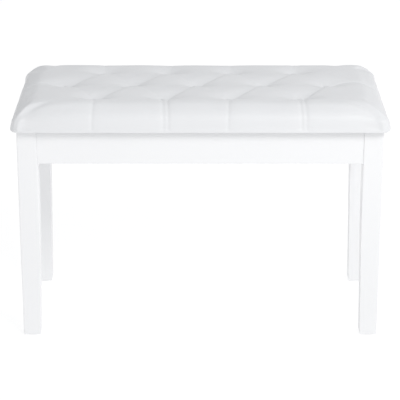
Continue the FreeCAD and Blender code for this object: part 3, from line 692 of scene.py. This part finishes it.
def plated_steel(name, colour, scratches):
    """Plated steel with fine rubbing marks and a cloudy sheen."""
    material, tree, shader, vector = new_material(name)
    use_patches(tree, vector, shader, colour, 45.0, 0.26, 0.44, 0.86)
    stretch = add(tree, "ShaderNodeMapping")
    stretch.inputs["Scale"].default_value = scratches
    tree.links.new(vector, stretch.inputs["Vector"])
    marks = noise(tree, stretch.outputs["Vector"], 60.0, 3.0, 0.6)
    raise_surface(tree, shader, marks.outputs["Fac"], 0.12, 0.0002)
    shader.inputs["Metallic"].default_value = 1.0
    return material


def moulded(name, colour, smooth, rough, darker, pits):
    """Moulded plastic or rubber with a fine tooled texture."""
    material, tree, shader, vector = new_material(name)
    use_patches(tree, vector, shader, colour, 60.0, smooth, rough, darker)
    texture = noise(tree, vector, pits, 2.0, 0.5)
    raise_surface(tree, shader, texture.outputs["Fac"], 0.18, 0.0002)
    return material


def woven(name, colour, threads, fuzz):
    """Thread or cloth: crossed waves broken up by fibres."""
    material, tree, shader, vector = new_material(name)
    use_patches(tree, vector, shader, colour, 30.0, 0.82, 0.95, 0.7)
    warp = add(tree, "ShaderNodeTexWave", bands_direction="X")
    weft = add(tree, "ShaderNodeTexWave", bands_direction="Y")
    for wave in (warp, weft):
        wave.inputs["Scale"].default_value = threads
        wave.inputs["Distortion"].default_value = 1.2
        wave.inputs["Detail Scale"].default_value = 3.0
        tree.links.new(vector, wave.inputs["Vector"])
    fibres = noise(tree, vector, fuzz, 4.0, 0.7)
    crossing = maths(tree, "MULTIPLY", warp.outputs["Fac"], weft.outputs["Fac"])
    raise_surface(tree, shader, maths(tree, "ADD", crossing, fibres.outputs["Fac"]), 0.4, 0.0003)
    shader.inputs["Sheen Weight"].default_value = 0.15
    return material


def studio_floor(name, colour):
    material, tree, shader, vector = new_material(name)
    use_patches(tree, vector, shader, colour, 1.2, 0.75, 0.85, 0.995)
    shader.inputs["Emission Color"].default_value = (1, 1, 1, 1)
    shader.inputs["Emission Strength"].default_value = 0.72
    return material


FINISHES = {}


def finish_nodes(slot, material):
    """Give one finish to every CAD node of a record slot."""
    for entry in frame["record"]["subparts"]:
        if entry["material_slot"] == slot:
            node = frame["nodes"][entry["node"]]
            node.data.materials.clear()
            node.data.materials.append(material)


# ---------------------------------------------------------------- operators

class BENCH_OT_mix_finishes(Operator):
    """Build the finishes and give them to the frame's parts"""

    bl_idname = "bench.mix_finishes"
    bl_label = "Mix Finishes"

    def execute(self, context):
        colours = context.scene.bench_colours
        leather_grain_group()
        patch_group()
        FINISHES.update(
            painted_wood=paint("Satin White Lacquer", colours.paint),
            plain_wood=bare_wood("Bare Wood", colours.bare_wood),
            bracket_steel=plated_steel("Zinc Plate", colours.steel, (1.0, 9.0, 9.0)),
            hinge_steel=plated_steel("Nickel Plate", shade(colours.steel, 1.08), (1.0, 12.0, 12.0)),
            stay_steel=plated_steel("Stay Steel", shade(colours.steel, 0.94), (12.0, 2.0, 12.0)),
            glide_plastic=moulded("Glide Plastic", colours.glide, 0.40, 0.60, 0.7, 900.0),
            bumper_rubber=moulded("Bumper Rubber", colours.rubber, 0.50, 0.70, 0.9, 700.0),
            white_leather=leather("White Seat Leather", colours.leather, 620.0),
            button_leather=leather("Button Leather", shade(colours.leather, 0.97), 760.0),
            seat_foam=woven("Foam", (0.72, 0.66, 0.45), 300.0, 500.0),
            twine=woven("Waxed Twine", colours.twine, 900.0, 1500.0),
            dust_cloth=woven("Dust Cloth", colours.dust_cloth, 260.0, 420.0),
        )
        for slot, material in FINISHES.items():
            finish_nodes(slot, material)
        return {"FINISHED"}


class BENCH_OT_upholster_seat(Operator):
    """Make the padded, tufted leather cover over the board and foam"""

    bl_idname = "bench.upholster_seat"
    bl_label = "Upholster Seat"

    def execute(self, context):
        cover = make_cover(context.scene.bench_seat)
        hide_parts("seat_cover", "seat_foam")
        give(cover, FINISHES["white_leather"])
        return {"FINISHED"}


class BENCH_OT_cover_buttons(Operator):
    """Make the leather-covered buttons in the tufts"""

    bl_idname = "bench.cover_buttons"
    bl_label = "Cover Buttons"

    def execute(self, context):
        sizes = context.scene.bench_seat
        pattern = make_button(sizes)
        places = [place for row in tuft_places(sizes) for place in row]
        buttons = [copy_piece(pattern, "covered_button_%02d" % number, (x, y, BUTTONS_LOW.z))
                   for number, (x, y) in enumerate(places, start=1)]
        bpy.data.objects.remove(pattern)
        for button in buttons:
            give(button, FINISHES["button_leather"])
            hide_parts("tuft_buttons")
        return {"FINISHED"}


class BENCH_OT_stretch_dust_cloth(Operator):
    """Stretch the dust cloth under the seat board"""

    bl_idname = "bench.stretch_dust_cloth"
    bl_label = "Stretch Dust Cloth"

    def execute(self, context):
        cloth = make_dust_cloth()
        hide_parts("dust_cover")
        give(cloth, FINISHES["dust_cloth"])
        return {"FINISHED"}


def add_softbox(name, place, target, size, power, colour):
    """A large square lamp pointed at a target."""
    start_clean()
    bpy.ops.object.light_add(type="AREA", location=place)
    lamp = bpy.context.object
    lamp.name = name
    lamp.rotation_euler = (Vector(target) - Vector(place)).to_track_quat("-Z", "Y").to_euler()
    lamp.data.shape = "RECTANGLE"
    lamp.data.size, lamp.data.size_y = size
    lamp.data.energy = power
    lamp.data.color = colour
    lamp.visible_camera = False
    return lamp


class BENCH_OT_set_studio(Operator):
    """Lay the pale floor and set the lights and the camera"""

    bl_idname = "bench.set_studio"
    bl_label = "Set Studio"

    def execute(self, context):
        scene = context.scene
        setup = scene.bench_studio
        start_clean()
        bpy.ops.mesh.primitive_plane_add(size=60.0, location=(0, 0, 0))
        floor = context.object
        floor.name = "studio_floor"
        floor.data.materials.append(studio_floor("Studio Floor", scene.bench_colours.floor))
        world = bpy.data.worlds.new("Studio Air")
        scene.world = world
        world.use_nodes = True
        tree = world.node_tree
        air = tree.nodes["Background"]
        air.inputs["Color"].default_value = (0.985, 0.99, 1.0, 1)
        heading = add(tree, "ShaderNodeTexCoord")
        towards = add(tree, "ShaderNodeVectorMath", operation="DOT_PRODUCT")
        towards.inputs[1].default_value = setup.lean
        tree.links.new(heading.outputs["Generated"], towards.inputs[0])
        tree.links.new(maths(tree, "ADD", towards.outputs["Value"], setup.ambient), air.inputs["Strength"])
        middle = (0, 0, 0.32)
        add_softbox("key_front_right", (0.95, -1.75, 2.0), middle, (0.8, 0.8), setup.key_power,
                    (1, 0.995, 0.985))
        add_softbox("fill_by_camera", (-1.2, -4.0, 1.3), middle, (2.4, 1.6), setup.fill_power,
                    (0.99, 0.995, 1))
        start_clean()
        reach = setup.distance
        place = Vector((-0.0005, -reach * math.cos(setup.elevation),
                        setup.aim_height + reach * math.sin(setup.elevation)))
        bpy.ops.object.camera_add(location=place, rotation=(math.pi / 2 - setup.elevation, 0, 0))
        camera = context.object
        camera.name = "studio_camera"
        camera.data.lens = setup.lens
        camera.data.sensor_width = 36.0
        camera.data.clip_end = 200.0
        scene.camera = camera
        scene.view_settings.view_transform = "Standard"
        return {"FINISHED"}


class BENCH_PT_workshop(Panel):
    """Lists the steps of making the bench"""

    bl_label = "Piano Bench"
    bl_idname = "BENCH_PT_workshop"
    bl_space_type = "VIEW_3D"
    bl_region_type = "UI"
    bl_category = "Bench"

    def draw(self, context):
        layout = self.layout
        for group in (context.scene.bench_seat, context.scene.bench_colours, context.scene.bench_studio):
            column = layout.column()
            for name in group.__annotations__:
                column.prop(group, name)
        for step in STEPS:
            layout.operator(step.bl_idname)


STEPS = (
    BENCH_OT_mix_finishes,
    BENCH_OT_upholster_seat,
    BENCH_OT_cover_buttons,
    BENCH_OT_stretch_dust_cloth,
    BENCH_OT_set_studio,
)
CLASSES = (SeatSizes, FinishColours, StudioSetup) + STEPS + (BENCH_PT_workshop,)


def register():
    for item in CLASSES:
        bpy.utils.register_class(item)
    bpy.types.Scene.bench_seat = PointerProperty(type=SeatSizes)
    bpy.types.Scene.bench_colours = PointerProperty(type=FinishColours)
    bpy.types.Scene.bench_studio = PointerProperty(type=StudioSetup)


def unregister():
    del bpy.types.Scene.bench_studio
    del bpy.types.Scene.bench_colours
    del bpy.types.Scene.bench_seat
    for item in reversed(CLASSES):
        bpy.utils.unregister_class(item)


def main():
    register()
    bpy.ops.bench.mix_finishes()
    bpy.ops.bench.upholster_seat()
    bpy.ops.bench.cover_buttons()
    bpy.ops.bench.stretch_dust_cloth()
    bpy.ops.bench.set_studio()


if __name__ == "__main__":
    main()
